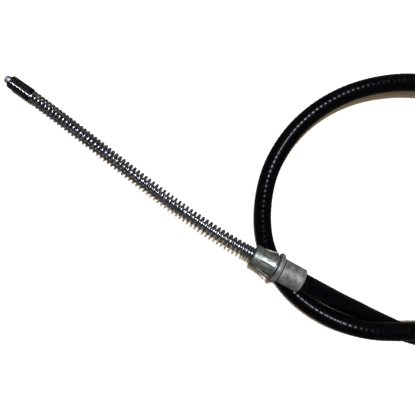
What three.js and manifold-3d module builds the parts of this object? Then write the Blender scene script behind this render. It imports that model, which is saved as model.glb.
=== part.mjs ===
// A rear parking brake cable, laid out as it rests on a bench.
// Millimetres, +Z up, the bench at Z = 0.
// The wheel end points to -X and +Y: end button, slotted sleeve, return spring and prong fitting.
// The conduit then makes one loop, passes under its own fitting, and ends in the lever-side fitting.
import * as THREE from "three";
import { mergeVertices } from "three/addons/utils/BufferGeometryUtils.js";
import Module from "manifold-3d";

const wasm = await Module();
wasm.setup();

// Fit between touching pieces
const CLEARANCE = 0.3;
const DEGREE = Math.PI / 180;

// Wire rope strand
const STRAND_RADIUS = 1.6;
const STRAND_PLAY = 0.5;
const STROKE = 20;
const STRAND_DEPTH = 12;
const STRAND_MARGIN = 8;

// Conduit, from the outside in
const JACKET_RADIUS = 5.65;
const JACKET_WALL = 1.2;
const ARMOUR_WALL = 1.2;
const LINER_WALL = 0.6;
const CONDUIT_SIDES = 10;
const CONDUIT_STEPS = 46;

// Facets and edge break of the turned pieces
const TURNED_SEGMENTS = 28;
const BUTTON_SEGMENTS = 20;
const FLANGE_EDGE = 0.5;
const SEAT_RELIEF = 0.4;

// Wheel-end fitting, lengths along its axis from the flange seat
const WHEEL_FITTING = {
  noseLength: 15.2,
  noseRadius: 5.8,
  springBore: 4.7,
  springSeatDepth: 4,
  flangeRadius: 9.6,
  flangeThickness: 2,
  ringRadius: 8.7,
  ringThickness: 1,
  grooveRadius: 6.2,
  grooveWidth: 0.8,
  barrelRadius: 7.5,
  barrelLength: 14.2,
  barrelRounding: 1.2,
  conduitDepth: 11,
};

// Lever-side fitting
const FAR_FITTING = {
  noseLength: 13,
  noseRadius: 5,
  springBore: 3.4,
  springSeatDepth: 3,
  flangeRadius: 8.6,
  flangeThickness: 1.8,
  ringRadius: 7.8,
  ringThickness: 0.8,
  grooveRadius: 6.2,
  grooveWidth: 0.8,
  barrelRadius: 7.3,
  barrelLength: 16,
  barrelRounding: 1.2,
  conduitDepth: 11,
};

// Sheet-steel prong clips that lock each fitting in its bracket
const CLIP_WALL = 0.8;
const CLIP_MARGIN = 0.4;
const PRONG_COUNT = 4;
const PRONG_WIDTH = 3.6;
const PRONG_END_GAP = 1.6;
const PRONG_ROOT = 4.2;
const PRONG_LIFT = 1.8;
const PRONG_THICKNESS = 0.7;
const WINDOW_GAP = 0.6;
const PRONG_ROLL = -15 * DEGREE;

// Return spring
const SPRING_OUTER_RADIUS = 4.3;
const SPRING_WIRE_RADIUS = 0.8;
const SPRING_TURNS = 62;
const SPRING_CLOSED_TURNS = 5;
const SPRING_CLOSED_PITCH = 1.9;
const SPRING_STEPS_PER_TURN = 8;
const SPRING_WIRE_SIDES = 5;

// Slotted sleeve and swaged end buttons
const SLEEVE_RADIUS = 4.4;
const SLEEVE_BORE = 2.3;
const SLEEVE_LENGTH = 15.5;
const SLEEVE_SLOT = 2.4;
const SLEEVE_SLOT_ROLL = 8 * DEGREE;
const BUTTON_RADIUS = 2.7;
const BUTTON_LENGTH = 4;
const BUTTON_CHAMFER = 0.6;
const FAR_BUTTON_RADIUS = 4.2;
const FAR_BUTTON_LENGTH = 7;
const FAR_STRAND_LENGTH = 42;

// Where the two fittings lie: centre of the flange seat and direction towards the conduit
const WHEEL_SEAT = new THREE.Vector3(39.7, -46.8, 2 * JACKET_RADIUS + CLEARANCE + WHEEL_FITTING.flangeRadius);
const WHEEL_PLAN_ANGLE = -28.8 * DEGREE;
const WHEEL_TILT = 1.5 * DEGREE;
const FAR_SEAT = new THREE.Vector3(240, 4, FAR_FITTING.flangeRadius);
const FAR_PLAN_ANGLE = -90 * DEGREE;

// Where the wheel end of the strand lies
const TIP_PLAN = new THREE.Vector2(-132.5, 72.6);
const TIP_DROP = 0.5;
const TIP_PLAN_ANGLE = -34.3 * DEGREE;
const TIP_RISE = 6.3 * DEGREE;
const TIP_LEAD = 79;
const STRAND_LEAD = 64;
const STRAND_SAMPLES = 12;

// Centreline of the conduit between the two fittings, along the bench
const CONDUIT_ROUTE = [
  [65, -60.8, 20.5],
  [73, -65.3, 17.9],
  [82, -70.4, 14.2],
  [92, -75.6, 10.5],
  [102.5, -81.2, 7.7],
  [113, -86.4, 6.1],
  [123.5, -91.2, 5.65],
  [134, -94.8, 5.65],
  [150, -97.5, 5.65],
  [168, -94.5, 5.65],
  [186, -84, 5.65],
  [201, -66, 5.65],
  [210, -42, 5.65],
  [212, -15, 5.65],
  [206, 12, 5.65],
  [192.6, 35.9, 6.1],
  [173, 54.7, 7],
  [150.6, 65.9, 8],
  [127.5, 69, 8.4],
  [104, 66.6, 7.8],
  [83.7, 59.8, 6.6],
  [65.2, 48.2, 5.9],
  [50, 32.3, 5.65],
  [38.8, 11.5, 5.65],
  [34.2, -12, 5.65],
  [35.6, -33, 5.65],
  [42.5, -50.5, 5.7],
  [51.5, -63.5, 7],
  [62, -72.7, 10],
  [72.8, -78.9, 13.8],
  [84.5, -83.4, 17],
  [98.5, -86.4, 18.6],
  [114, -87.5, 18],
  [130, -87.4, 17.2],
  [150, -87, 17],
  [172, -86, 17],
  [189.6, -82.8, 16.8],
  [206, -76, 15],
  [220.1, -65.4, 12.2],
  [230.9, -51.5, 9.9],
  [237.7, -35.6, 8.8],
];

const materials = {
  jacket: new THREE.MeshStandardMaterial({ color: 0x0b0b0d, roughness: 0.28, metalness: 0 }),
  armour: new THREE.MeshStandardMaterial({ color: 0x8e9194, roughness: 0.4, metalness: 0.9 }),
  liner: new THREE.MeshStandardMaterial({ color: 0xd9d6cc, roughness: 0.5, metalness: 0 }),
  strand: new THREE.MeshStandardMaterial({ color: 0xa7abaf, roughness: 0.35, metalness: 0.9 }),
  spring: new THREE.MeshStandardMaterial({ color: 0x9aa1a8, roughness: 0.25, metalness: 1 }),
  sleeve: new THREE.MeshStandardMaterial({ color: 0x0c0c0e, roughness: 0.35, metalness: 0 }),
  fitting: new THREE.MeshStandardMaterial({ color: 0xa9aeb0, roughness: 0.45, metalness: 0.8 }),
  clip: new THREE.MeshStandardMaterial({ color: 0xb4b9ba, roughness: 0.35, metalness: 0.85 }),
};

// The finished group: every piece is added to it in bench coordinates.
const cable = new THREE.Group();
cable.name = "parking_brake_cable";

// Turns a closed mesh geometry into a manifold-3d solid.
function toSolid(geometry) {
  const bare = geometry.index ? geometry.toNonIndexed() : geometry.clone();
  bare.deleteAttribute("normal");
  bare.deleteAttribute("uv");
  const merged = mergeVertices(bare, 1e-4);
  return new wasm.Manifold(
    new wasm.Mesh({
      numProp: 3,
      vertProperties: merged.attributes.position.array,
      triVerts: new Uint32Array(merged.index.array),
    }),
  );
}

// Turns a manifold-3d solid back into a geometry.
function toGeometry(solid) {
  const mesh = solid.getMesh();
  const geometry = new THREE.BufferGeometry();
  geometry.setAttribute("position", new THREE.BufferAttribute(mesh.vertProperties, 3));
  geometry.setIndex(new THREE.BufferAttribute(mesh.triVerts, 1));
  geometry.computeVertexNormals();
  return geometry;
}

// A solid of revolution about +X from a closed outline of [distance along X, radius].
function turned(outline, segments) {
  const points = outline.map(([along, radius]) => new THREE.Vector2(radius, along));
  points.push(points[0].clone());
  const geometry = new THREE.LatheGeometry(points, segments);
  geometry.rotateZ(-Math.PI / 2);
  return geometry;
}

// A tube section as a regular polygon, with a bore when an inner radius is given.
function ringSection(outerRadius, innerRadius, sides) {
  const corners = (radius) =>
    Array.from({ length: sides }, (_, i) => {
      const angle = (2 * Math.PI * i) / sides;
      return new THREE.Vector2(radius * Math.cos(angle), radius * Math.sin(angle));
    });
  const section = new THREE.Shape(corners(outerRadius));
  if (innerRadius > 0) section.holes.push(new THREE.Path(corners(innerRadius)));
  return section;
}

function sweep(section, path, steps) {
  return new THREE.ExtrudeGeometry(section, { extrudePath: path, steps, bevelEnabled: false });
}

// The frame of a piece that lies along a direction: X along it, Z as near to up as it can be.
function frameAlong(origin, direction, roll = 0) {
  const x = direction.clone().normalize();
  const y = new THREE.Vector3(0, 0, 1).cross(x).normalize();
  const z = x.clone().cross(y);
  const matrix = new THREE.Matrix4().makeBasis(x, y, z).multiply(new THREE.Matrix4().makeRotationX(roll));
  return matrix.setPosition(origin);
}

// Adds one named piece, placed by the frame it is drawn in.
function addPiece(name, geometry, material, frame = new THREE.Matrix4()) {
  const mesh = new THREE.Mesh(geometry, material);
  mesh.name = name;
  frame.decompose(mesh.position, mesh.quaternion, mesh.scale);
  cable.add(mesh);
  return mesh;
}

// Directions and end points of the two fittings
const directionOf = (planAngle, rise) =>
  new THREE.Vector3(Math.cos(rise) * Math.cos(planAngle), Math.cos(rise) * Math.sin(planAngle), Math.sin(rise));
const wheelDirection = directionOf(WHEEL_PLAN_ANGLE, WHEEL_TILT);
const farDirection = new THREE.Vector3(Math.cos(FAR_PLAN_ANGLE), Math.sin(FAR_PLAN_ANGLE), 0);
const alongWheel = (distance) => WHEEL_SEAT.clone().addScaledVector(wheelDirection, distance);
const alongFar = (distance) => FAR_SEAT.clone().addScaledVector(farDirection, distance);
const barrelStart = (size) => size.flangeThickness + size.ringThickness + size.grooveWidth;
const barrelEnd = (size) => barrelStart(size) + size.barrelLength;
const conduitStart = (size) => barrelEnd(size) - size.conduitDepth;

// Die-cast fitting: nose with the spring seat, flange, ring, groove and crimped barrel.
// The flange is relieved round the nose, so that its raised land seats clear of the clip.
function fittingGeometry(size) {
  const strandBore = STRAND_RADIUS + STRAND_PLAY;
  const conduitBore = JACKET_RADIUS + CLEARANCE;
  const flangeEdge = FLANGE_EDGE;
  const landRadius = size.noseRadius + CLEARANCE + CLIP_WALL + CLEARANCE;
  const roundingStep = (1 - Math.SQRT1_2) * size.barrelRounding;
  const ringStart = size.flangeThickness;
  const grooveStart = ringStart + size.ringThickness;
  const end = barrelEnd(size);
  const seat = -size.noseLength + size.springSeatDepth;
  return turned(
    [
      [-size.noseLength, size.springBore],
      [-size.noseLength, size.noseRadius],
      [SEAT_RELIEF, size.noseRadius],
      [SEAT_RELIEF, landRadius],
      [0, landRadius],
      [0, size.flangeRadius - flangeEdge],
      [flangeEdge, size.flangeRadius],
      [ringStart - flangeEdge, size.flangeRadius],
      [ringStart, size.flangeRadius - flangeEdge],
      [ringStart, size.ringRadius],
      [grooveStart, size.ringRadius - flangeEdge],
      [grooveStart, size.grooveRadius],
      [barrelStart(size), size.grooveRadius],
      [barrelStart(size), size.barrelRadius],
      [end - size.barrelRounding, size.barrelRadius],
      [end - roundingStep, size.barrelRadius - roundingStep],
      [end, size.barrelRadius - size.barrelRounding],
      [end, conduitBore],
      [conduitStart(size) - CLEARANCE, conduitBore],
      [conduitStart(size) - CLEARANCE, strandBore],
      [seat, strandBore],
      [seat, size.springBore],
    ],
    TURNED_SEGMENTS,
  );
}

// Sheet-steel sleeve on the nose, with lanced prongs whose free ends face the flange.
function clipGeometry(size) {
  const inner = size.noseRadius + CLEARANCE;
  const outer = inner + CLIP_WALL;
  const start = -size.noseLength + CLIP_MARGIN;
  const end = -CLEARANCE;
  const shell = turned(
    [
      [start, inner],
      [start, outer],
      [end, outer],
      [end, inner],
    ],
    TURNED_SEGMENTS,
  );
  let solid = toSolid(shell);
  const rootAt = start + PRONG_ROOT;
  const prongLength = -PRONG_END_GAP - rootAt;
  const windowLength = prongLength + WINDOW_GAP;
  for (let i = 0; i < PRONG_COUNT; i += 1) {
    const turn = PRONG_ROLL + (2 * Math.PI * i) / PRONG_COUNT;
    const opening = new THREE.BoxGeometry(windowLength, PRONG_WIDTH + 2 * WINDOW_GAP, 4 * CLIP_WALL);
    opening.translate(rootAt + windowLength / 2, 0, outer);
    opening.rotateX(turn);
    solid = solid.subtract(toSolid(opening));
  }
  for (let i = 0; i < PRONG_COUNT; i += 1) {
    const turn = PRONG_ROLL + (2 * Math.PI * i) / PRONG_COUNT;
    const prong = new THREE.BoxGeometry(prongLength + CLIP_WALL, PRONG_WIDTH, PRONG_THICKNESS);
    prong.translate((prongLength - CLIP_WALL) / 2, 0, 0);
    prong.rotateY(-Math.atan2(PRONG_LIFT, prongLength));
    prong.translate(rootAt, 0, inner + CLIP_WALL / 2);
    prong.rotateX(turn);
    solid = solid.add(toSolid(prong));
  }
  return toGeometry(solid);
}

// Swaged button with a bore for the end of the strand.
function buttonGeometry(radius, length) {
  const bore = STRAND_RADIUS + CLEARANCE;
  const floor = length - BUTTON_RADIUS / 2;
  return turned(
    [
      [0, bore],
      [0, radius],
      [length - BUTTON_CHAMFER, radius],
      [length, radius - BUTTON_CHAMFER],
      [length, 0],
      [floor, 0],
      [floor, bore],
    ],
    BUTTON_SEGMENTS,
  );
}

// Curve of the strand outside the wheel-end fitting, from the nose mouth to the end button.
const mouth = alongWheel(-WHEEL_FITTING.noseLength);
const tip = new THREE.Vector3(TIP_PLAN.x, TIP_PLAN.y, SLEEVE_RADIUS - TIP_DROP);
const tipInward = directionOf(TIP_PLAN_ANGLE, TIP_RISE);
const mouthLead = mouth.clone().addScaledVector(wheelDirection, -STRAND_LEAD);
const tipLead = tip.clone().addScaledVector(tipInward, TIP_LEAD);
const freeStrand = new THREE.CubicBezierCurve3(mouth, mouthLead, tipLead, tip);
const freeLength = freeStrand.getLength();

// The straight tail end that the sleeve and the button sit on
const tipDirection = freeStrand.getTangentAt(1);
const sleeveInner = tip.clone().addScaledVector(tipDirection, -BUTTON_LENGTH - CLEARANCE - SLEEVE_LENGTH);
const buttonInner = tip.clone().addScaledVector(tipDirection, -BUTTON_LENGTH);

// Return spring: a helix round the free strand, with closed turns at the fitting.
class SpringCurve extends THREE.Curve {
  constructor(axis, startAt, endAt) {
    super();
    this.axis = axis;
    this.startAt = startAt;
    this.endAt = endAt;
  }

  alongAxis(turn) {
    const closedLength = SPRING_CLOSED_TURNS * SPRING_CLOSED_PITCH;
    const openLength = this.endAt - this.startAt - closedLength;
    const openPitch = openLength / (SPRING_TURNS - SPRING_CLOSED_TURNS);
    if (turn < SPRING_CLOSED_TURNS) return this.startAt + turn * SPRING_CLOSED_PITCH;
    return this.startAt + closedLength + (turn - SPRING_CLOSED_TURNS) * openPitch;
  }

  getPoint(t, target = new THREE.Vector3()) {
    const turn = t * SPRING_TURNS;
    const u = this.alongAxis(turn) / freeLength;
    const centre = this.axis(u);
    const out = centre.direction;
    const side = new THREE.Vector3(0, 0, 1).cross(out).normalize();
    const up = out.clone().cross(side);
    const radius = SPRING_OUTER_RADIUS - SPRING_WIRE_RADIUS;
    const angle = 2 * Math.PI * turn;
    return target
      .copy(centre.point)
      .addScaledVector(side, radius * Math.cos(angle))
      .addScaledVector(up, radius * Math.sin(angle));
  }
}

// Centre and direction of the strand at a share of its free length; below 0 it is in the nose.
function strandAt(share) {
  if (share < 0) {
    const point = mouth.clone().addScaledVector(wheelDirection, -share * freeLength);
    return { point, direction: wheelDirection.clone().negate() };
  }
  return { point: freeStrand.getPointAt(share), direction: freeStrand.getTangentAt(share) };
}

function springGeometry() {
  const startAt = -WHEEL_FITTING.springSeatDepth + CLEARANCE + SPRING_WIRE_RADIUS;
  const endAt = freeLength - BUTTON_LENGTH - SLEEVE_LENGTH - 2 * CLEARANCE - SPRING_WIRE_RADIUS;
  const helix = new SpringCurve(strandAt, startAt, endAt);
  const steps = SPRING_TURNS * SPRING_STEPS_PER_TURN;
  helix.arcLengthDivisions = 4 * steps;
  return sweep(ringSection(SPRING_WIRE_RADIUS, 0, SPRING_WIRE_SIDES), helix, steps);
}

// Wheel end of the strand: straight in the fitting, then the free curve to the button's bore.
function wheelStrandGeometry() {
  const innerEnd = STRAND_DEPTH - WHEEL_FITTING.noseLength;
  const points = [alongWheel(innerEnd), alongWheel(-WHEEL_FITTING.noseLength / 2)];
  const lastShare = (freeLength - BUTTON_RADIUS) / freeLength;
  for (let i = 0; i <= STRAND_SAMPLES; i += 1) {
    points.push(freeStrand.getPointAt((lastShare * i) / STRAND_SAMPLES));
  }
  const path = new THREE.CatmullRomCurve3(points, false, "centripetal");
  return sweep(ringSection(STRAND_RADIUS, 0, CONDUIT_SIDES), path, 2 * STRAND_SAMPLES);
}

// Black sleeve with a lengthwise slot.
function sleeveGeometry() {
  const half = Math.asin(SLEEVE_SLOT / 2 / SLEEVE_RADIUS);
  const innerHalf = Math.asin(Math.min(1, SLEEVE_SLOT / 2 / SLEEVE_BORE));
  const outline = new THREE.Shape();
  outline.absarc(0, 0, SLEEVE_RADIUS, half, 2 * Math.PI - half, false);
  outline.absarc(0, 0, SLEEVE_BORE, 2 * Math.PI - innerHalf, innerHalf, true);
  outline.closePath();
  const geometry = new THREE.ExtrudeGeometry(outline, {
    depth: SLEEVE_LENGTH,
    bevelEnabled: false,
    curveSegments: 14,
  });
  geometry.rotateY(Math.PI / 2);
  geometry.rotateX(Math.PI);
  return geometry;
}

// Route of the whole conduit, from seat to seat of the two barrels.
const conduitPath = new THREE.CatmullRomCurve3(
  [
    alongWheel(conduitStart(WHEEL_FITTING)),
    alongWheel(barrelEnd(WHEEL_FITTING)),
    alongWheel(barrelEnd(WHEEL_FITTING) + JACKET_RADIUS / 2),
    ...CONDUIT_ROUTE.map(([x, y, z]) => new THREE.Vector3(x, y, z)),
    alongFar(barrelEnd(FAR_FITTING) + JACKET_RADIUS / 2),
    alongFar(barrelEnd(FAR_FITTING)),
    alongFar(conduitStart(FAR_FITTING)),
  ],
  false,
  "centripetal",
);
conduitPath.arcLengthDivisions = 2000;

// The same stretch of a curve for every layer, so that their steps lie at the same places.
class CurveStretch extends THREE.Curve {
  constructor(base, from, to) {
    super();
    this.base = base;
    this.from = from;
    this.to = to;
  }

  getPoint(t, target = new THREE.Vector3()) {
    return target.copy(this.base.getPointAt(this.from + (this.to - this.from) * t));
  }
}

// The middle of the strand, between the two ends that slide.
function coreGeometry() {
  const path = new CurveStretch(conduitPath, 1 / CONDUIT_STEPS, 1 - 1 / CONDUIT_STEPS);
  return sweep(ringSection(STRAND_RADIUS, 0, CONDUIT_SIDES), path, CONDUIT_STEPS - 2);
}

function addConduit() {
  const jacketBore = JACKET_RADIUS - JACKET_WALL;
  const armourRadius = jacketBore - CLEARANCE;
  const armourBore = armourRadius - ARMOUR_WALL;
  const linerRadius = armourBore - CLEARANCE;
  const linerBore = linerRadius - LINER_WALL;
  const layers = [
    ["conduit_jacket", JACKET_RADIUS, jacketBore, materials.jacket],
    ["conduit_armour", armourRadius, armourBore, materials.armour],
    ["conduit_liner", linerRadius, linerBore, materials.liner],
  ];
  for (const [name, outer, inner, material] of layers) {
    addPiece(name, sweep(ringSection(outer, inner, CONDUIT_SIDES), conduitPath, CONDUIT_STEPS), material);
  }
  addPiece("core_strand", coreGeometry(), materials.strand);
}

function addWheelEnd() {
  const seatFrame = frameAlong(WHEEL_SEAT, wheelDirection);
  addPiece("wheel_fitting", fittingGeometry(WHEEL_FITTING), materials.fitting, seatFrame);
  addPiece("wheel_prong_clip", clipGeometry(WHEEL_FITTING), materials.clip, seatFrame);
  addPiece("return_spring", springGeometry(), materials.spring);
  addPiece("wheel_end_strand", wheelStrandGeometry(), materials.strand);
  const sleeveFrame = frameAlong(sleeveInner, tipDirection, SLEEVE_SLOT_ROLL);
  addPiece("slotted_sleeve", sleeveGeometry(), materials.sleeve, sleeveFrame);
  const button = buttonGeometry(BUTTON_RADIUS, BUTTON_LENGTH);
  addPiece("wheel_end_button", button, materials.fitting, frameAlong(buttonInner, tipDirection));
}

// Lever-side end, straight: the strand reaches the stroke and a margin into the conduit.
function addFarEnd() {
  const seatFrame = frameAlong(FAR_SEAT, farDirection);
  addPiece("lever_fitting", fittingGeometry(FAR_FITTING), materials.fitting, seatFrame);
  addPiece("lever_prong_clip", clipGeometry(FAR_FITTING), materials.clip, seatFrame);
  const inside = STROKE + STRAND_MARGIN - FAR_FITTING.noseLength;
  const outside = -FAR_FITTING.noseLength - FAR_STRAND_LENGTH;
  const path = new THREE.LineCurve3(alongFar(inside), alongFar(outside));
  addPiece("lever_end_strand", sweep(ringSection(STRAND_RADIUS, 0, CONDUIT_SIDES), path, 1), materials.strand);
  const buttonAt = alongFar(outside + FAR_BUTTON_LENGTH - FAR_BUTTON_RADIUS);
  const button = buttonGeometry(FAR_BUTTON_RADIUS, FAR_BUTTON_LENGTH);
  const outwards = farDirection.clone().negate();
  addPiece("lever_end_button", button, materials.fitting, frameAlong(buttonAt, outwards));
}

// Puts the origin on the bench, under the middle of all that isn't conduit.
function centreOnBench() {
  const box = new THREE.Box3();
  const conduit = ["conduit_jacket", "conduit_armour", "conduit_liner", "core_strand"];
  cable.updateMatrixWorld(true);
  for (const piece of cable.children) {
    if (!conduit.includes(piece.name)) box.expandByObject(piece, true);
  }
  const middle = box.getCenter(new THREE.Vector3());
  cable.position.set(-middle.x, -middle.y, -box.min.z);
}

addConduit();
addWheelEnd();
addFarEnd();
centreOnBench();

export default cable;
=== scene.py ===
# A rear parking brake cable, seen from straight above as it lies on a pale bench.
# Sizes are metres. Plan positions repeat the layout of the part, moved into the frame's own origin.
import math

import bmesh
import bpy
import numpy as np
from mathutils import Matrix, Vector


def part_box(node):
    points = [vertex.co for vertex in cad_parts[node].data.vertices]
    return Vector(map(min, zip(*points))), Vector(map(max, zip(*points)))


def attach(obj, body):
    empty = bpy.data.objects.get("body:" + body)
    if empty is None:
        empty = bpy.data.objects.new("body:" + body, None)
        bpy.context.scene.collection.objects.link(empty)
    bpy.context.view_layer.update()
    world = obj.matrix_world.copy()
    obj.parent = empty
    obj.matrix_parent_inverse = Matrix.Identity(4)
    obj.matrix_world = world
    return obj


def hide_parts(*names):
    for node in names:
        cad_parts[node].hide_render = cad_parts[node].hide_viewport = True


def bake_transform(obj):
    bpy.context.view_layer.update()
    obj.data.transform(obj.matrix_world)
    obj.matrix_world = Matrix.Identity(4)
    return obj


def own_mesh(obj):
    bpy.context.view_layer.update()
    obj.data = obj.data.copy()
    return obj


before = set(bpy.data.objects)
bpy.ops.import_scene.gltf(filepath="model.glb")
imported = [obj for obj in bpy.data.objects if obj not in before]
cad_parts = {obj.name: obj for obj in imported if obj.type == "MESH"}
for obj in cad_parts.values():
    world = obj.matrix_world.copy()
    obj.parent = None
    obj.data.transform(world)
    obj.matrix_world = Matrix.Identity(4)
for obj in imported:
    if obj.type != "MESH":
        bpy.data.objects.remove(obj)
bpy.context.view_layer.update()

MM = 0.001
DEGREE = math.pi / 180
CLEARANCE = 0.3 * MM

# Bodies and joint of the frame
HOUSING = "conduit_and_fittings"
WHEEL_STRAND = "wheel_strand"
LEVER_STRAND = "lever_strand"

# Strand and conduit
STRAND_RADIUS = 1.6 * MM
STRAND_PLAY = 0.5 * MM
STRAND_SPACING = 0.25 * MM
JACKET_RADIUS = 5.65 * MM
JACKET_BORE = 4.45 * MM
RIDGE_PITCH = 3.2 * MM
RIDGE_HEIGHT = 0.045 * MM
RIDGE_SAMPLES = 8
SHEATH_SIDES = 22

# Wire rope of the strand
ROPE_WIRES = 6
ROPE_LAY = 17 * MM
ROPE_WIRE_SHARE = 0.36
ROPE_HEART_SHARE = 0.9
ROPE_SPACING = 0.9 * MM
ROPE_SIDES = 8
WHEEL_ROPE_INSIDE = (3.2 * MM, 6 * MM, 9 * MM, 12 * MM)
LEVER_ROPE_INSIDE = 15 * MM

# Fittings, lengths from the flange seat
WHEEL_SIZE = {
    "nose_length": 15.2 * MM,
    "nose_radius": 5.8 * MM,
    "spring_bore": 4.7 * MM,
    "seat_depth": 4 * MM,
    "flange_radius": 9.6 * MM,
    "flange_thickness": 2 * MM,
    "ring_radius": 8.7 * MM,
    "ring_thickness": 1 * MM,
    "groove_radius": 6.2 * MM,
    "groove_width": 0.8 * MM,
    "barrel_radius": 7.5 * MM,
    "barrel_length": 14.2 * MM,
    "barrel_rounding": 1.3 * MM,
    "conduit_depth": 11 * MM,
}
LEVER_SIZE = {
    "nose_length": 13 * MM,
    "nose_radius": 5 * MM,
    "spring_bore": 3.4 * MM,
    "seat_depth": 3 * MM,
    "flange_radius": 8.6 * MM,
    "flange_thickness": 1.8 * MM,
    "ring_radius": 7.8 * MM,
    "ring_thickness": 0.8 * MM,
    "groove_radius": 6.2 * MM,
    "groove_width": 0.8 * MM,
    "barrel_radius": 7.3 * MM,
    "barrel_length": 16 * MM,
    "barrel_rounding": 1.3 * MM,
    "conduit_depth": 11 * MM,
}

# Rounding of the castings' edges, and the crimp round each barrel
EDGE_CRISP = 0.15 * MM
EDGE_SOFT = 0.2 * MM
EDGE_BARREL = 0.3 * MM
EDGE_MOUTH = 0.35 * MM
EDGE_RING = 0.5 * MM
EDGE_FLANGE = 0.9 * MM
SEAT_RELIEF = 0.4 * MM
CASTING_SEGMENTS = 120
BARREL_ROWS = 16
CRIMP_PLACE = 0.62
CRIMP_REACH = 2.2 * MM
CRIMP_DEPTH = 0.22 * MM
CRIMP_LOBES = 6
WHEEL_CRIMP_TURN = 0.4
LEVER_CRIMP_TURN = 0.1

# Bands painted on the castings: a painted highlight on the ring's rim, and painted shade in the groove
# and on the nose under the clip; how far each runs past the corner that it starts from
RIM_WIDTH = 0.45 * MM
RIM_MARGIN = 0.02 * MM
RIM_DEPTH = 0.8 * MM
GROOVE_SHADE_DEPTH = 0.5 * MM
NOSE_SHADE_MARGIN = 0.6 * MM
NOSE_SHADE_DEPTH = 0.2 * MM

# Prong clips
CLIP_WALL = 0.8 * MM
CLIP_MARGIN = 0.4 * MM
PRONG_COUNT = 4
PRONG_WIDTH = 3.6 * MM
PRONG_ROOT = 4.2 * MM
PRONG_END_GAP = 1.6 * MM
PRONG_LIFT = 1.8 * MM
WINDOW_GAP = 0.6 * MM
PRONG_ROLL = -15 * DEGREE
PRONG_FIRST_SHARE = 0.6
PRONG_STRIPS = 4
WALL_STRIPS = 12

# Return spring
SPRING_OUTER_RADIUS = 4.3 * MM
SPRING_WIRE_RADIUS = 0.8 * MM
SPRING_TURNS = 62
SPRING_CLOSED_TURNS = 5
SPRING_CLOSED_PITCH = 1.9 * MM
SPRING_STEPS_PER_TURN = 26
SPRING_WIRE_SIDES = 12

# Slotted sleeve and end buttons
SLEEVE_RADIUS = 4.4 * MM
SLEEVE_BORE = 2.3 * MM
SLEEVE_LENGTH = 15.5 * MM
SLEEVE_SLOT = 2.4 * MM
SLEEVE_SLOT_ROLL = 8 * DEGREE
SLEEVE_OUTER_STEPS = 60
SLEEVE_INNER_STEPS = 40
BUTTON_RADIUS = 2.7 * MM
BUTTON_LENGTH = 4 * MM
LEVER_BUTTON_RADIUS = 4.2 * MM
LEVER_BUTTON_LENGTH = 7 * MM
LEVER_STRAND_LENGTH = 42 * MM
BUTTON_BORE_GAP = 0.15 * MM
BUTTON_RIM = 0.5 * MM
BUTTON_CROWN = 0.8 * MM
BUTTON_SEGMENTS = 64
SWAGE_DEPTH = 0.12 * MM
SWAGE_LOBES = 4

# Shading: sharp edges stay sharp on turned and flat pieces, and long tubes are smooth
SHARP_ANGLE = 40 * DEGREE
TUBE_ANGLE = 60 * DEGREE
EDGE_BEVEL = 0.12 * MM

# Layout in plan, in millimetres as the part's source gives it
WHEEL_SEAT_MM = (39.7, -46.8, 21.2)
WHEEL_PLAN_ANGLE = -28.8 * DEGREE
WHEEL_TILT = 1.5 * DEGREE
LEVER_SEAT_MM = (240, 4, 8.6)
TIP_MM = (-132.5, 72.6, 3.9)
STRAND_LEAD = 64 * MM
TIP_LEAD = 79 * MM
TIP_PLAN_ANGLE = -34.3 * DEGREE
TIP_RISE = 6.3 * DEGREE
CONDUIT_ROUTE_MM = [
    (65, -60.8, 20.5),
    (73, -65.3, 17.9),
    (82, -70.4, 14.2),
    (92, -75.6, 10.5),
    (102.5, -81.2, 7.7),
    (113, -86.4, 6.1),
    (123.5, -91.2, 5.65),
    (134, -94.8, 5.65),
    (150, -97.5, 5.65),
    (168, -94.5, 5.65),
    (186, -84, 5.65),
    (201, -66, 5.65),
    (210, -42, 5.65),
    (212, -15, 5.65),
    (206, 12, 5.65),
    (192.6, 35.9, 6.1),
    (173, 54.7, 7),
    (150.6, 65.9, 8),
    (127.5, 69, 8.4),
    (104, 66.6, 7.8),
    (83.7, 59.8, 6.6),
    (65.2, 48.2, 5.9),
    (50, 32.3, 5.65),
    (38.8, 11.5, 5.65),
    (34.2, -12, 5.65),
    (35.6, -33, 5.65),
    (42.5, -50.5, 5.7),
    (51.5, -63.5, 7),
    (62, -72.7, 10),
    (72.8, -78.9, 13.8),
    (84.5, -83.4, 17),
    (98.5, -86.4, 18.6),
    (114, -87.5, 18),
    (130, -87.4, 17.2),
    (150, -87, 17),
    (172, -86, 17),
    (189.6, -82.8, 16.8),
    (206, -76, 15),
    (220.1, -65.4, 12.2),
    (230.9, -51.5, 9.9),
    (237.7, -35.6, 8.8),
]

# Camera: straight down, over the photograph's optical centre
CAMERA_HEIGHT = 270 * MM
FOCAL_PIXELS = 408
FRAME_PIXELS = 415
OPTICAL_CENTRE = (210, 190)
SENSOR_MM = 36

# Light: a flash beside the camera, and a wide warm fill
FLASH_TOWARD = (-0.04, 0.27, 1)
FLASH_ENERGY = 4.0
FLASH_COLOUR = (0.9, 0.93, 1.0)
FLASH_ANGLE = 4 * DEGREE
FILL_TOWARD = (0.2, 0.4, 1)
FILL_ENERGY = 1.15
FILL_COLOUR = (1.0, 0.67, 0.28)
FILL_ANGLE = 100 * DEGREE
BENCH_SIZE = 4
BENCH_WHITE = 0.9

# Room seen in reflections, by the height of the direction: 0 at the horizon, 1 straight up
ROOM_COLOURS = [
    (0.0, (0.16, 0.15, 0.13)),
    (0.5, (0.1, 0.1, 0.1)),
    (0.8, (0.03, 0.035, 0.05)),
    (1.0, (0.02, 0.025, 0.04)),
]

# The layout's origin in the frame: the lever fitting's box fixes it.
lever_low, lever_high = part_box("lever_fitting")
LAYOUT = Vector(
    (
        (lever_low[0] + lever_high[0]) / 2 - LEVER_SEAT_MM[0] * MM,
        lever_high[1] - LEVER_SEAT_MM[1] * MM - LEVER_SIZE["nose_length"],
        0,
    )
)


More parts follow.
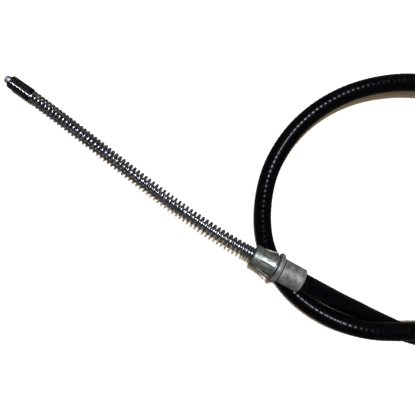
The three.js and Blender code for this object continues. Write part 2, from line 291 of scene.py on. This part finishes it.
def place(point_mm):
    """A layout point in millimetres as a point of the frame."""
    return Vector(point_mm) * MM + LAYOUT


def unit(vector):
    return vector / np.linalg.norm(vector)


def direction_of(plan_angle, rise):
    """Unit vector at an angle in plan and a rise above the bench."""
    level = math.cos(rise)
    return Vector((level * math.cos(plan_angle), level * math.sin(plan_angle), math.sin(rise)))


# Camera


def make_camera():
    """Camera that looks straight down, shifted so that its axis meets the optical centre."""
    data = bpy.data.cameras.new("camera")
    data.sensor_width = SENSOR_MM
    data.lens = FOCAL_PIXELS / FRAME_PIXELS * SENSOR_MM
    middle = FRAME_PIXELS / 2
    data.shift_x = (middle - OPTICAL_CENTRE[0]) / FRAME_PIXELS
    data.shift_y = (OPTICAL_CENTRE[1] - middle) / FRAME_PIXELS
    data.clip_start = 0.01
    camera = bpy.data.objects.new("camera", data)
    camera.location = place((0, 0, 0)) + Vector((0, 0, CAMERA_HEIGHT))
    bpy.context.collection.objects.link(camera)
    bpy.context.scene.camera = camera


# Curves


def smooth_curve(points, spacing):
    """Centripetal Catmull-Rom curve through the points, as evenly spaced samples."""
    p = np.array([tuple(q) for q in points], float)
    p = np.vstack([2 * p[0] - p[1], p, 2 * p[-1] - p[-2]])
    fine = []
    for a, b, c, d in zip(p[:-3], p[1:-2], p[2:-1], p[3:]):
        ab, bc, cd = (math.sqrt(np.linalg.norm(v)) for v in (b - a, c - b, d - c))
        leave = ((b - a) / ab - (c - a) / (ab + bc) + (c - b) / bc) * bc
        arrive = ((c - b) / bc - (d - b) / (bc + cd) + (d - c) / cd) * bc
        for t in np.linspace(0, 1, 24, endpoint=False):
            fine.append(
                (2 * t**3 - 3 * t**2 + 1) * b
                + (t**3 - 2 * t**2 + t) * leave
                + (3 * t**2 - 2 * t**3) * c
                + (t**3 - t**2) * arrive
            )
    fine.append(p[-2])
    return resample(np.array(fine), spacing)


def distances_along(points):
    steps = np.linalg.norm(np.diff(points, axis=0), axis=1)
    return np.concatenate([[0], np.cumsum(steps)])


def resample(points, spacing):
    """The same path with even steps of about the given spacing."""
    along = distances_along(points)
    count = max(2, round(along[-1] / spacing))
    wanted = np.linspace(0, along[-1], count + 1)
    return np.stack([np.interp(wanted, along, points[:, k]) for k in range(3)], axis=1)


def path_length(points):
    return float(distances_along(points)[-1])


def carried_frames(points):
    """Side and up at each point, carried along without twist."""
    tangents = np.gradient(points, axis=0)
    tangents /= np.linalg.norm(tangents, axis=1)[:, None]
    up = np.array([0, 0, 1.0])
    sides, ups = [], []
    for tangent in tangents:
        up = unit(up - tangent * np.dot(up, tangent))
        sides.append(np.cross(up, tangent))
        ups.append(up)
    return np.array(sides), np.array(ups)


# Meshes


def new_object(name, vertices, faces, material, smooth_angle):
    """Object from vertices and faces, smooth but for edges sharper than the angle."""
    mesh = bpy.data.meshes.new(name)
    mesh.from_pydata([tuple(v) for v in vertices], [], faces)
    mesh.materials.append(material)
    obj = bpy.data.objects.new(name, mesh)
    bpy.context.collection.objects.link(obj)
    work = bmesh.new()
    work.from_mesh(mesh)
    bmesh.ops.recalc_face_normals(work, faces=work.faces)
    for face in work.faces:
        face.smooth = True
    for edge in work.edges:
        edge.smooth = edge.calc_face_angle(0) < smooth_angle
    work.to_mesh(mesh)
    work.free()
    return obj


def grid_faces(rows, columns, closed_rows=False):
    """Faces of a grid of vertices whose columns close into a ring."""
    faces = []
    last_row = rows if closed_rows else rows - 1
    for i in range(last_row):
        for j in range(columns):
            k, m = (i + 1) % rows, (j + 1) % columns
            faces.append((i * columns + j, i * columns + m, k * columns + m, k * columns + j))
    return faces


def tube(points, radius_at, sides):
    """Vertices and faces of a capped tube; radius_at(distance, angle) gives its radius."""
    across, ups = carried_frames(points)
    along = distances_along(points)
    angles = np.linspace(0, 2 * math.pi, sides, endpoint=False)
    vertices = []
    for i, centre in enumerate(points):
        for angle in angles:
            radius = radius_at(along[i], angle)
            vertices.append(centre + radius * (math.cos(angle) * across[i] + math.sin(angle) * ups[i]))
    faces = grid_faces(len(points), sides)
    faces.append(tuple(range(sides)))
    faces.append(tuple(range((len(points) - 1) * sides, len(points) * sides)))
    return vertices, faces


def hollow_tube(points, radius_at, bore, sides):
    """As tube, with a plain bore from end to end."""
    across, ups = carried_frames(points)
    along = distances_along(points)
    angles = np.linspace(0, 2 * math.pi, sides, endpoint=False)
    outer, inner = [], []
    for i, centre in enumerate(points):
        for angle in angles:
            out = math.cos(angle) * across[i] + math.sin(angle) * ups[i]
            outer.append(centre + radius_at(along[i], angle) * out)
            inner.append(centre + bore * out)
    count = len(outer)
    faces = grid_faces(len(points), sides)
    faces += [tuple(count + k for k in face[::-1]) for face in grid_faces(len(points), sides)]
    for start in (0, count - sides):
        for j in range(sides):
            k = (j + 1) % sides
            faces.append((start + j, start + k, count + start + k, count + start + j))
    return outer + inner, faces


def rounded(outline, arc_steps=5):
    """An outline of (along, radius, fillet) corners as points with its corners rounded."""
    points = []
    count = len(outline)
    for i, (x, y, fillet) in enumerate(outline):
        corner = np.array([x, y])
        if fillet <= 0:
            points.append(corner)
            continue
        before = np.array(outline[i - 1][:2]) - corner
        after = np.array(outline[(i + 1) % count][:2]) - corner
        reach = min(fillet, 0.49 * np.linalg.norm(before), 0.49 * np.linalg.norm(after))
        start = corner + unit(before) * reach
        end = corner + unit(after) * reach
        for t in np.linspace(0, 1, arc_steps):
            points.append((1 - t) ** 2 * start + 2 * t * (1 - t) * corner + t**2 * end)
    return points


def round_edges(obj, segments):
    bevel = obj.modifiers.new("edge", "BEVEL")
    bevel.width = EDGE_BEVEL
    bevel.segments = segments
    bevel.limit_method = "ANGLE"
    bevel.angle_limit = SHARP_ANGLE


def frame_along(origin, direction, roll=0):
    """Matrix whose X runs along the direction and whose Z is as near to up as it can be."""
    x = Vector(direction).normalized()
    y = Vector((0, 0, 1)).cross(x).normalized()
    z = x.cross(y)
    turn = Matrix((x, y, z)).transposed().to_4x4() @ Matrix.Rotation(roll, 4, "X")
    return Matrix.Translation(origin) @ turn


def turned(name, outline, place_at, segments, material, shape=None):
    """Solid of revolution about X from a closed outline; shape(along, angle, radius) may dent it."""
    points = rounded(outline)
    vertices = []
    for along, radius in points:
        for angle in np.linspace(0, 2 * math.pi, segments, endpoint=False):
            r = shape(along, angle, radius) if shape else radius
            vertices.append(place_at @ Vector((along, r * math.cos(angle), r * math.sin(angle))))
    faces = grid_faces(len(points), segments, closed_rows=True)
    return new_object(name, vertices, faces, material, SHARP_ANGLE)


# Materials


def node_material(name):
    """New material with its nodes, links and shader."""
    material = bpy.data.materials.new(name)
    material.use_nodes = True
    nodes = material.node_tree.nodes
    return material, nodes, material.node_tree.links, nodes["Principled BSDF"]


def noise(nodes, links, scale, detail=4):
    """Noise in object space."""
    where = nodes.new("ShaderNodeTexCoord")
    texture = nodes.new("ShaderNodeTexNoise")
    texture.inputs["Scale"].default_value = scale
    texture.inputs["Detail"].default_value = detail
    texture.inputs["Roughness"].default_value = 0.55
    links.new(where.outputs["Object"], texture.inputs["Vector"])
    return texture.outputs["Fac"]


def ramp(nodes, links, fac, stops):
    """Colour ramp over a value; stops are (position, colour)."""
    node = nodes.new("ShaderNodeValToRGB")
    elements = node.color_ramp.elements
    while len(elements) < len(stops):
        elements.new(0.5)
    for element, (position, colour) in zip(elements, stops):
        element.position = position
        element.color = (*colour, 1)
    links.new(fac, node.inputs["Fac"])
    return node.outputs["Color"]


def spread(nodes, links, fac, low, high):
    """The middle of a noise's range, spread over low to high."""
    node = nodes.new("ShaderNodeMapRange")
    node.inputs["From Min"].default_value = 0.3
    node.inputs["From Max"].default_value = 0.7
    node.inputs["To Min"].default_value = low
    node.inputs["To Max"].default_value = high
    links.new(fac, node.inputs["Value"])
    return node.outputs["Result"]


def bump(nodes, links, shader, height, strength, distance):
    node = nodes.new("ShaderNodeBump")
    node.inputs["Strength"].default_value = strength
    node.inputs["Distance"].default_value = distance
    links.new(height, node.inputs["Height"])
    links.new(node.outputs["Normal"], shader.inputs["Normal"])


def metal(name, dark, light, scale, roughness, metallic=0.9, dents=0.3):
    """Plated metal: mottled colour, uneven gloss and small surface marks."""
    material, nodes, links, shader = node_material(name)
    mottle = noise(nodes, links, scale)
    colour = ramp(nodes, links, mottle, [(0.32, dark), (0.68, light)])
    links.new(colour, shader.inputs["Base Color"])
    gloss = noise(nodes, links, scale * 2.7, detail=6)
    links.new(spread(nodes, links, gloss, *roughness), shader.inputs["Roughness"])
    shader.inputs["Metallic"].default_value = metallic
    marks = noise(nodes, links, scale * 4, detail=3)
    bump(nodes, links, shader, marks, dents, 0.05 * MM)
    return material


def plastic(name, dark, light, rough_low, rough_high, gloss=0.5, scale=300):
    """Plastic with faint smears and a fine skin."""
    material, nodes, links, shader = node_material(name)
    smear = noise(nodes, links, scale, detail=5)
    colour = ramp(nodes, links, smear, [(0.35, dark), (0.7, light)])
    links.new(colour, shader.inputs["Base Color"])
    links.new(spread(nodes, links, smear, rough_low, rough_high), shader.inputs["Roughness"])
    shader.inputs["Specular IOR Level"].default_value = gloss
    skin = noise(nodes, links, scale * 6, detail=2)
    bump(nodes, links, shader, skin, 0.12, 0.03 * MM)
    return material


def bench_material():
    """Plain pale bench."""
    material, nodes, links, shader = node_material("bench_white")
    shader.inputs["Base Color"].default_value = (BENCH_WHITE, BENCH_WHITE, BENCH_WHITE, 1)
    shader.inputs["Roughness"].default_value = 0.9
    shader.inputs["Specular IOR Level"].default_value = 0.1
    return material


MATERIALS = {
    "jacket": plastic("jacket_black", (0.0006, 0.0006, 0.001), (0.0018, 0.0018, 0.0024), 0.2, 0.27, 0.08),
    "sleeve": plastic("sleeve_black", (0.003, 0.003, 0.0035), (0.008, 0.008, 0.009), 0.3, 0.42, 0.2),
    "liner": plastic("liner_natural", (0.7, 0.68, 0.6), (0.8, 0.78, 0.7), 0.4, 0.5),
    "casting": metal("zinc_casting", (0.09, 0.1, 0.1), (0.24, 0.25, 0.24), 260, (0.45, 0.6), 0.45, 0.6),
    # Painted highlight: a lighter, glossier band for the bright line along the fitting's rolled ring
    "painted_rim_highlight": metal("rim_painted_highlight", (0.4, 0.42, 0.42), (0.6, 0.62, 0.6), 300, (0.3, 0.45), 0.8),
    # Painted shade: near-black for the shade in the fitting's groove and on the nose under the clip's
    # windows
    "painted_shade": metal("groove_painted_shade", (0.01, 0.012, 0.012), (0.04, 0.045, 0.045), 400, (0.6, 0.8), 0.2),
    "clip": metal("clip_zinc", (0.12, 0.135, 0.13), (0.3, 0.32, 0.3), 420, (0.38, 0.5), 0.8, 0.5),
    "spring": metal("spring_wire", (0.2, 0.21, 0.24), (0.5, 0.52, 0.57), 350, (0.2, 0.32), 1.0, 0.15),
    "strand": metal("strand_wire", (0.12, 0.125, 0.14), (0.42, 0.43, 0.46), 500, (0.22, 0.34), 1.0),
    "armour": metal("armour_wire", (0.35, 0.35, 0.36), (0.5, 0.5, 0.5), 300, (0.3, 0.5)),
    "button": metal("button_steel", (0.3, 0.33, 0.42), (0.5, 0.53, 0.6), 400, (0.3, 0.45)),
}


# The places of the fittings and of the strand

WHEEL_SEAT = place(WHEEL_SEAT_MM)
LEVER_SEAT = place(LEVER_SEAT_MM)
WHEEL_DIRECTION = direction_of(WHEEL_PLAN_ANGLE, WHEEL_TILT)
LEVER_DIRECTION = Vector((0, -1, 0))


def barrel_start(size):
    return size["flange_thickness"] + size["ring_thickness"] + size["groove_width"]


def barrel_end(size):
    return barrel_start(size) + size["barrel_length"]


def conduit_start(size):
    return barrel_end(size) - size["conduit_depth"]


def along_wheel(distance):
    return WHEEL_SEAT + WHEEL_DIRECTION * distance


def along_lever(distance):
    return LEVER_SEAT + LEVER_DIRECTION * distance


def conduit_points():
    """The conduit's centre: straight in each barrel, and by the route between them."""
    lead = JACKET_RADIUS / 2
    points = [
        along_wheel(conduit_start(WHEEL_SIZE)),
        along_wheel(barrel_end(WHEEL_SIZE)),
        along_wheel(barrel_end(WHEEL_SIZE) + lead),
    ]
    points += [place(point) for point in CONDUIT_ROUTE_MM]
    points += [
        along_lever(barrel_end(LEVER_SIZE) + lead),
        along_lever(barrel_end(LEVER_SIZE)),
        along_lever(conduit_start(LEVER_SIZE)),
    ]
    return points


def free_strand():
    """The strand outside the wheel fitting, from the nose's mouth to the end button."""
    mouth = np.array(along_wheel(-WHEEL_SIZE["nose_length"]))
    mouth_lead = mouth - np.array(WHEEL_DIRECTION) * STRAND_LEAD
    tip = np.array(place(TIP_MM))
    tip_lead = tip + np.array(direction_of(TIP_PLAN_ANGLE, TIP_RISE)) * TIP_LEAD
    curve = [
        (1 - t) ** 3 * mouth
        + 3 * (1 - t) ** 2 * t * mouth_lead
        + 3 * (1 - t) * t**2 * tip_lead
        + t**3 * tip
        for t in np.linspace(0, 1, 400)
    ]
    return resample(np.array(curve), STRAND_SPACING)


FREE_STRAND = free_strand()
FREE_LENGTH = path_length(FREE_STRAND)
TIP_DIRECTION = Vector(FREE_STRAND[-1] - FREE_STRAND[-2]).normalized()


def strand_point(distance):
    """Point and direction of the strand's centre; below 0 it is inside the nose."""
    if distance < 0:
        point = np.array(along_wheel(-WHEEL_SIZE["nose_length"] - distance))
        return point, -np.array(WHEEL_DIRECTION)
    index = min(distance / FREE_LENGTH * (len(FREE_STRAND) - 1), len(FREE_STRAND) - 1.001)
    low = int(index)
    share = index - low
    point = FREE_STRAND[low] * (1 - share) + FREE_STRAND[low + 1] * share
    return point, unit(FREE_STRAND[low + 1] - FREE_STRAND[low])


# Pieces of the conduit


def make_sheath():
    """The glossy sheath, with the wound wire under it just showing as a spiral ridge."""
    points = smooth_curve(conduit_points(), RIDGE_PITCH / RIDGE_SAMPLES)

    def radius_at(distance, angle):
        wave = math.cos(2 * math.pi * distance / RIDGE_PITCH - angle)
        return JACKET_RADIUS - RIDGE_HEIGHT + RIDGE_HEIGHT * wave

    vertices, faces = hollow_tube(points, radius_at, JACKET_BORE, SHEATH_SIDES)
    sheath = new_object("conduit_sheath", vertices, faces, MATERIALS["jacket"], TUBE_ANGLE)
    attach(sheath, HOUSING)
    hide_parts("conduit_jacket")
    return sheath, points


# Pieces of the fittings


def paint_band(obj, seat_frame, material, low, high, least_radius):
    """Gives a material to the outer faces whose middle lies between two distances from the seat."""
    back = seat_frame.inverted()
    obj.data.materials.append(material)
    index = len(obj.data.materials) - 1
    for face in obj.data.polygons:
        local = back @ face.center
        if low <= local.x <= high and math.hypot(local.y, local.z) > least_radius:
            face.material_index = index


def make_fitting(name, node, size, seat_frame, crimp_turn):
    """Die-cast fitting with a rolled flange and a barrel crimped on the conduit."""
    strand_bore = STRAND_RADIUS + STRAND_PLAY
    conduit_bore = JACKET_RADIUS + CLEARANCE
    ring_start = size["flange_thickness"]
    groove_start = ring_start + size["ring_thickness"]
    start = barrel_start(size)
    end = barrel_end(size)
    seat = -size["nose_length"] + size["seat_depth"]
    middle = start + CRIMP_PLACE * size["barrel_length"]
    barrel = size["barrel_radius"]
    land = size["nose_radius"] + CLIP_WALL + 2 * CLEARANCE
    outline = [
        (-size["nose_length"], size["spring_bore"], EDGE_MOUTH),
        (-size["nose_length"], size["nose_radius"], EDGE_MOUTH),
        (SEAT_RELIEF, size["nose_radius"], 0),
        (SEAT_RELIEF, land, 0),
        (0, land, EDGE_CRISP),
        (0, size["flange_radius"], EDGE_FLANGE),
        (ring_start, size["flange_radius"], EDGE_FLANGE),
        (ring_start, size["ring_radius"], EDGE_CRISP),
        (groove_start, size["ring_radius"], EDGE_RING),
        (groove_start, size["groove_radius"], EDGE_SOFT),
        (start, size["groove_radius"], EDGE_SOFT),
        (start, barrel, EDGE_BARREL),
    ]
    for i in range(1, BARREL_ROWS):
        outline.append((start + (end - start) * i / BARREL_ROWS, barrel, 0))
    outline += [
        (end, barrel, size["barrel_rounding"]),
        (end, conduit_bore, EDGE_SOFT),
        (conduit_start(size) - CLEARANCE, conduit_bore, 0),
        (conduit_start(size) - CLEARANCE, strand_bore, 0),
        (seat, strand_bore, EDGE_MOUTH),
        (seat, size["spring_bore"], 0),
    ]

    def crimp(along, angle, radius):
        if radius < barrel - 2 * EDGE_SOFT or along < start:
            return radius
        band = math.exp(-(((along - middle) / CRIMP_REACH) ** 2))
        lobes = 0.5 + 0.5 * math.cos(CRIMP_LOBES * (angle - crimp_turn))
        return radius - CRIMP_DEPTH * band * lobes**2

    fitting = turned(name, outline, seat_frame, CASTING_SEGMENTS, MATERIALS["casting"], crimp)
    # Painted highlight on the ring's rim, lighter than the casting
    painted_rim_highlight = (groove_start - RIM_WIDTH, groove_start - RIM_MARGIN, size["ring_radius"] - RIM_DEPTH)
    # Painted shade: near-black in the groove, and on the nose where the clip's windows show it
    groove = (groove_start, start, size["groove_radius"] - GROOVE_SHADE_DEPTH)
    nose = (-size["nose_length"] + NOSE_SHADE_MARGIN, 0, size["nose_radius"] - NOSE_SHADE_DEPTH)
    paint_band(fitting, seat_frame, MATERIALS["painted_rim_highlight"], *painted_rim_highlight)
    paint_band(fitting, seat_frame, MATERIALS["painted_shade"], *groove)
    paint_band(fitting, seat_frame, MATERIALS["painted_shade"], *nose)
    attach(fitting, HOUSING)
    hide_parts(node)
    return fitting


def prong_lines(radius):
    """Angles of the grid lines of the clip, and the kind of each strip between them."""
    half = PRONG_WIDTH / 2 / radius
    gap = WINDOW_GAP / radius
    pitch = 2 * math.pi / PRONG_COUNT
    angles, kinds = [], []
    for i in range(PRONG_COUNT):
        centre = math.pi / 2 + i * pitch
        stops = [
            (centre - half - gap, "gap", 1),
            (centre - half, "prong", PRONG_STRIPS),
            (centre + half, "gap", 1),
            (centre + half + gap, "wall", WALL_STRIPS),
        ]
        ends = [stop[0] for stop in stops[1:]] + [centre + pitch - half - gap]
        for (start, kind, count), end in zip(stops, ends):
            for k in range(count):
                angles.append(start + (end - start) * k / count)
                kinds.append(kind)
    return angles, kinds


def make_clip(name, node, size, seat_frame):
    """Rolled sheet sleeve with lanced prongs; their free ends stand out towards the flange."""
    radius = size["nose_radius"] + CLEARANCE + CLIP_WALL / 2
    start = -size["nose_length"] + CLIP_MARGIN
    end = -CLEARANCE
    root = start + PRONG_ROOT
    free = -PRONG_END_GAP
    window = free + WINDOW_GAP
    stations = list(np.linspace(start, root, 5)) + list(np.linspace(root, free, 8))[1:]
    stations += [window] + list(np.linspace(window, end, 3))[1:]
    angles, kinds = prong_lines(radius)
    mesh = bmesh.new()
    turn = Matrix.Rotation(PRONG_ROLL, 4, "X")

    def lift_of(along, kind_left, kind_right):
        inside = "prong" in (kind_left, kind_right)
        if not inside or along <= root or along >= window:
            return 0
        share = (along - root) / (free - root)
        return PRONG_LIFT * share * (PRONG_FIRST_SHARE + (1 - PRONG_FIRST_SHARE) * share)

    rows = []
    for along in stations:
        row = []
        for j, angle in enumerate(angles):
            r = radius + lift_of(along, kinds[j - 1], kinds[j])
            local = Vector((along, r * math.cos(angle), r * math.sin(angle)))
            row.append(mesh.verts.new(seat_frame @ (turn @ local)))
        rows.append(row)
    for i in range(len(stations) - 1):
        middle = (stations[i] + stations[i + 1]) / 2
        for j, kind in enumerate(kinds):
            if kind == "gap" and root < middle < window:
                continue
            if kind == "prong" and free < middle < window:
                continue
            k = (j + 1) % len(angles)
            mesh.faces.new((rows[i][j], rows[i][k], rows[i + 1][k], rows[i + 1][j]))
    loose = [vertex for vertex in mesh.verts if not vertex.link_faces]
    bmesh.ops.delete(mesh, geom=loose, context="VERTS")
    bmesh.ops.recalc_face_normals(mesh, faces=mesh.faces)
    data = bpy.data.meshes.new(name)
    mesh.to_mesh(data)
    mesh.free()
    data.materials.append(MATERIALS["clip"])
    clip = bpy.data.objects.new(name, data)
    bpy.context.collection.objects.link(clip)
    solidify = clip.modifiers.new("sheet", "SOLIDIFY")
    solidify.thickness = CLIP_WALL
    solidify.offset = 0
    solidify.use_even_offset = True
    round_edges(clip, 2)
    for face in data.polygons:
        face.use_smooth = True
    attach(clip, HOUSING)
    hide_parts(node)
    return clip


# Pieces of the strand


def make_rope(name, node, centre):
    """Wire rope: a heart and six strands laid round it, closed at its ends."""
    outer = STRAND_RADIUS * ROPE_WIRE_SHARE
    reach = STRAND_RADIUS - outer
    vertices, faces = tube(centre, lambda distance, angle: reach * ROPE_HEART_SHARE, ROPE_SIDES)
    across, ups = carried_frames(centre)
    along = distances_along(centre)
    for k in range(ROPE_WIRES):
        turn = 2 * math.pi * (along / ROPE_LAY + k / ROPE_WIRES)
        helix = centre + reach * (np.cos(turn)[:, None] * across + np.sin(turn)[:, None] * ups)
        more, tiles = tube(helix, lambda distance, angle: outer, ROPE_SIDES)
        start = len(vertices)
        vertices = vertices + more
        faces += [tuple(start + v for v in tile) for tile in tiles]
    rope = new_object(name, vertices, faces, MATERIALS["strand"], TUBE_ANGLE)
    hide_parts(node)
    return rope


def make_spring():
    """Return spring: closed turns in the nose, then even open turns up to the sleeve."""
    start = -WHEEL_SIZE["seat_depth"] + CLEARANCE + SPRING_WIRE_RADIUS
    end = FREE_LENGTH - BUTTON_LENGTH - SLEEVE_LENGTH - 2 * CLEARANCE - SPRING_WIRE_RADIUS
    closed = SPRING_CLOSED_TURNS * SPRING_CLOSED_PITCH
    open_pitch = (end - start - closed) / (SPRING_TURNS - SPRING_CLOSED_TURNS)
    radius = SPRING_OUTER_RADIUS - SPRING_WIRE_RADIUS
    points = []
    for step in range(SPRING_TURNS * SPRING_STEPS_PER_TURN + 1):
        turn = step / SPRING_STEPS_PER_TURN
        if turn < SPRING_CLOSED_TURNS:
            distance = start + turn * SPRING_CLOSED_PITCH
        else:
            distance = start + closed + (turn - SPRING_CLOSED_TURNS) * open_pitch
        centre, direction = strand_point(distance)
        side = unit(np.cross([0, 0, 1.0], direction))
        up = np.cross(direction, side)
        angle = 2 * math.pi * turn
        points.append(centre + radius * (math.cos(angle) * side + math.sin(angle) * up))
    wire = np.array(points)
    vertices, faces = tube(wire, lambda distance, angle: SPRING_WIRE_RADIUS, SPRING_WIRE_SIDES)
    spring = new_object("coil_spring", vertices, faces, MATERIALS["spring"], TUBE_ANGLE)
    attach(spring, HOUSING)
    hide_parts("return_spring")
    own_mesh(spring)


def make_sleeve():
    """Black sleeve with a lengthwise slot that shows the strand."""
    half = math.asin(SLEEVE_SLOT / 2 / SLEEVE_RADIUS)
    inner_half = math.asin(min(1, SLEEVE_SLOT / 2 / SLEEVE_BORE))
    outline = []
    for angle in np.linspace(half, 2 * math.pi - half, SLEEVE_OUTER_STEPS):
        outline.append((SLEEVE_RADIUS * math.cos(angle), SLEEVE_RADIUS * math.sin(angle)))
    for angle in np.linspace(2 * math.pi - inner_half, inner_half, SLEEVE_INNER_STEPS):
        outline.append((SLEEVE_BORE * math.cos(angle), SLEEVE_BORE * math.sin(angle)))
    inner = place(TIP_MM) - TIP_DIRECTION * (BUTTON_LENGTH + CLEARANCE + SLEEVE_LENGTH)
    at = frame_along(inner, TIP_DIRECTION, SLEEVE_SLOT_ROLL)
    vertices = []
    for along in (0, SLEEVE_LENGTH):
        for up, across in outline:
            vertices.append(at @ Vector((along, across, up)))
    count = len(outline)
    faces = grid_faces(2, count)
    faces.append(tuple(range(count)))
    faces.append(tuple(range(count, 2 * count)))
    sleeve = new_object("cable_sleeve", vertices, faces, MATERIALS["sleeve"], SHARP_ANGLE)
    round_edges(sleeve, 3)
    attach(sleeve, WHEEL_STRAND)
    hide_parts("slotted_sleeve")


def make_button(name, node, at, radius, length, body):
    """Swaged end button with rounded rims."""
    bore = STRAND_RADIUS + BUTTON_BORE_GAP
    floor = length - BUTTON_RADIUS / 2
    outline = [
        (0, bore, 0.1 * MM),
        (0, radius, BUTTON_RIM),
        (0.5 * length, radius, 0),
        (length, radius, BUTTON_CROWN),
        (length, 0.02 * MM, 0),
        (floor, 0.02 * MM, 0),
        (floor, bore, 0),
    ]

    def swage(along, angle, r):
        if r <= 0.9 * radius:
            return r
        return r - SWAGE_DEPTH * (0.5 + 0.5 * math.cos(SWAGE_LOBES * angle))

    button = turned(name, outline, at, BUTTON_SEGMENTS, MATERIALS["button"], swage)
    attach(button, body)
    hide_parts(node)
    return button


def make_wheel_end():
    """Fitting, clip, spring, sleeve, strand and button of the wheel end."""
    seat_frame = frame_along(WHEEL_SEAT, WHEEL_DIRECTION)
    make_fitting("wheel_end_casting", "wheel_fitting", WHEEL_SIZE, seat_frame, WHEEL_CRIMP_TURN)
    make_clip("wheel_locking_clip", "wheel_prong_clip", WHEEL_SIZE, seat_frame)
    make_spring()
    make_sleeve()
    reach = FREE_LENGTH - BUTTON_RADIUS
    inside = [np.array(along_wheel(-distance)) for distance in WHEEL_ROPE_INSIDE]
    outside = [strand_point(d)[0] for d in np.linspace(0, reach, 60)]
    centre = smooth_curve(inside + outside, ROPE_SPACING)
    rope = make_rope("wheel_end_rope", "wheel_end_strand", centre)
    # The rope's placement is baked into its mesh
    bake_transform(rope)
    at = frame_along(place(TIP_MM) - TIP_DIRECTION * BUTTON_LENGTH, TIP_DIRECTION)
    make_button("wheel_button", "wheel_end_button", at, BUTTON_RADIUS, BUTTON_LENGTH, WHEEL_STRAND)


def make_lever_end():
    """Fitting, clip, strand and button of the lever end, which the conduit's far end carries."""
    seat_frame = frame_along(LEVER_SEAT, LEVER_DIRECTION)
    fitting = make_fitting("lever_end_casting", "lever_fitting", LEVER_SIZE, seat_frame, LEVER_CRIMP_TURN)
    clip = make_clip("lever_locking_clip", "lever_prong_clip", LEVER_SIZE, seat_frame)
    outside = -LEVER_SIZE["nose_length"] - LEVER_STRAND_LENGTH
    ends = np.array([along_lever(LEVER_ROPE_INSIDE), along_lever(outside)])
    rope = make_rope("lever_end_rope", "lever_end_strand", resample(ends, ROPE_SPACING))
    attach(rope, LEVER_STRAND)
    start = along_lever(outside + LEVER_BUTTON_LENGTH - LEVER_BUTTON_RADIUS)
    at = frame_along(start, -LEVER_DIRECTION)
    button = make_button(
        "lever_button", "lever_end_button", at, LEVER_BUTTON_RADIUS, LEVER_BUTTON_LENGTH, LEVER_STRAND
    )
    return [fitting, clip, rope, button]


def finish_cad_nodes():
    """The wound wire, liner and middle of the strand stay as the frame holds them, inside the sheath."""
    for node, material in (
        ("conduit_armour", "armour"),
        ("conduit_liner", "liner"),
        ("core_strand", "strand"),
    ):
        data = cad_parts[node].data
        data.materials.clear()
        data.materials.append(MATERIALS[material])


# Bench and light


def make_bench():
    """Pale bench, left out of bounced light and reflections so that lower sides stay dark."""
    bpy.ops.mesh.primitive_plane_add(size=BENCH_SIZE, location=(0, 0, 0))
    bench = bpy.context.active_object
    bench.name = "bench"
    bench.data.materials.append(bench_material())
    bench.visible_diffuse = False
    bench.visible_glossy = False


def make_sky():
    """Dim room: darker and cooler overhead than towards the walls."""
    world = bpy.data.worlds.new("room")
    world.use_nodes = True
    nodes, links = world.node_tree.nodes, world.node_tree.links
    where = nodes.new("ShaderNodeTexCoord")
    split = nodes.new("ShaderNodeSeparateXYZ")
    links.new(where.outputs["Generated"], split.inputs["Vector"])
    links.new(ramp(nodes, links, split.outputs["Z"], ROOM_COLOURS), nodes["Background"].inputs["Color"])
    bpy.context.scene.world = world


def add_sun(name, toward, energy, colour, angle):
    """Parallel light that comes from the given direction."""
    data = bpy.data.lights.new(name, "SUN")
    data.energy = energy
    data.color = colour
    data.angle = angle
    lamp = bpy.data.objects.new(name, data)
    lamp.rotation_euler = Vector(toward).to_track_quat("Z", "Y").to_euler()
    bpy.context.collection.objects.link(lamp)
    return lamp


def make_lights():
    """The flash, and the fill that colours its shadows."""
    add_sun("flash", FLASH_TOWARD, FLASH_ENERGY, FLASH_COLOUR, FLASH_ANGLE)
    fill = add_sun("fill", FILL_TOWARD, FILL_ENERGY, FILL_COLOUR, FILL_ANGLE)
    fill.visible_glossy = False
    make_sky()
    bpy.context.scene.view_settings.view_transform = "Standard"


make_camera()
sheath, sheath_path = make_sheath()
make_wheel_end()
lever_pieces = make_lever_end()
finish_cad_nodes()
make_bench()
make_lights()
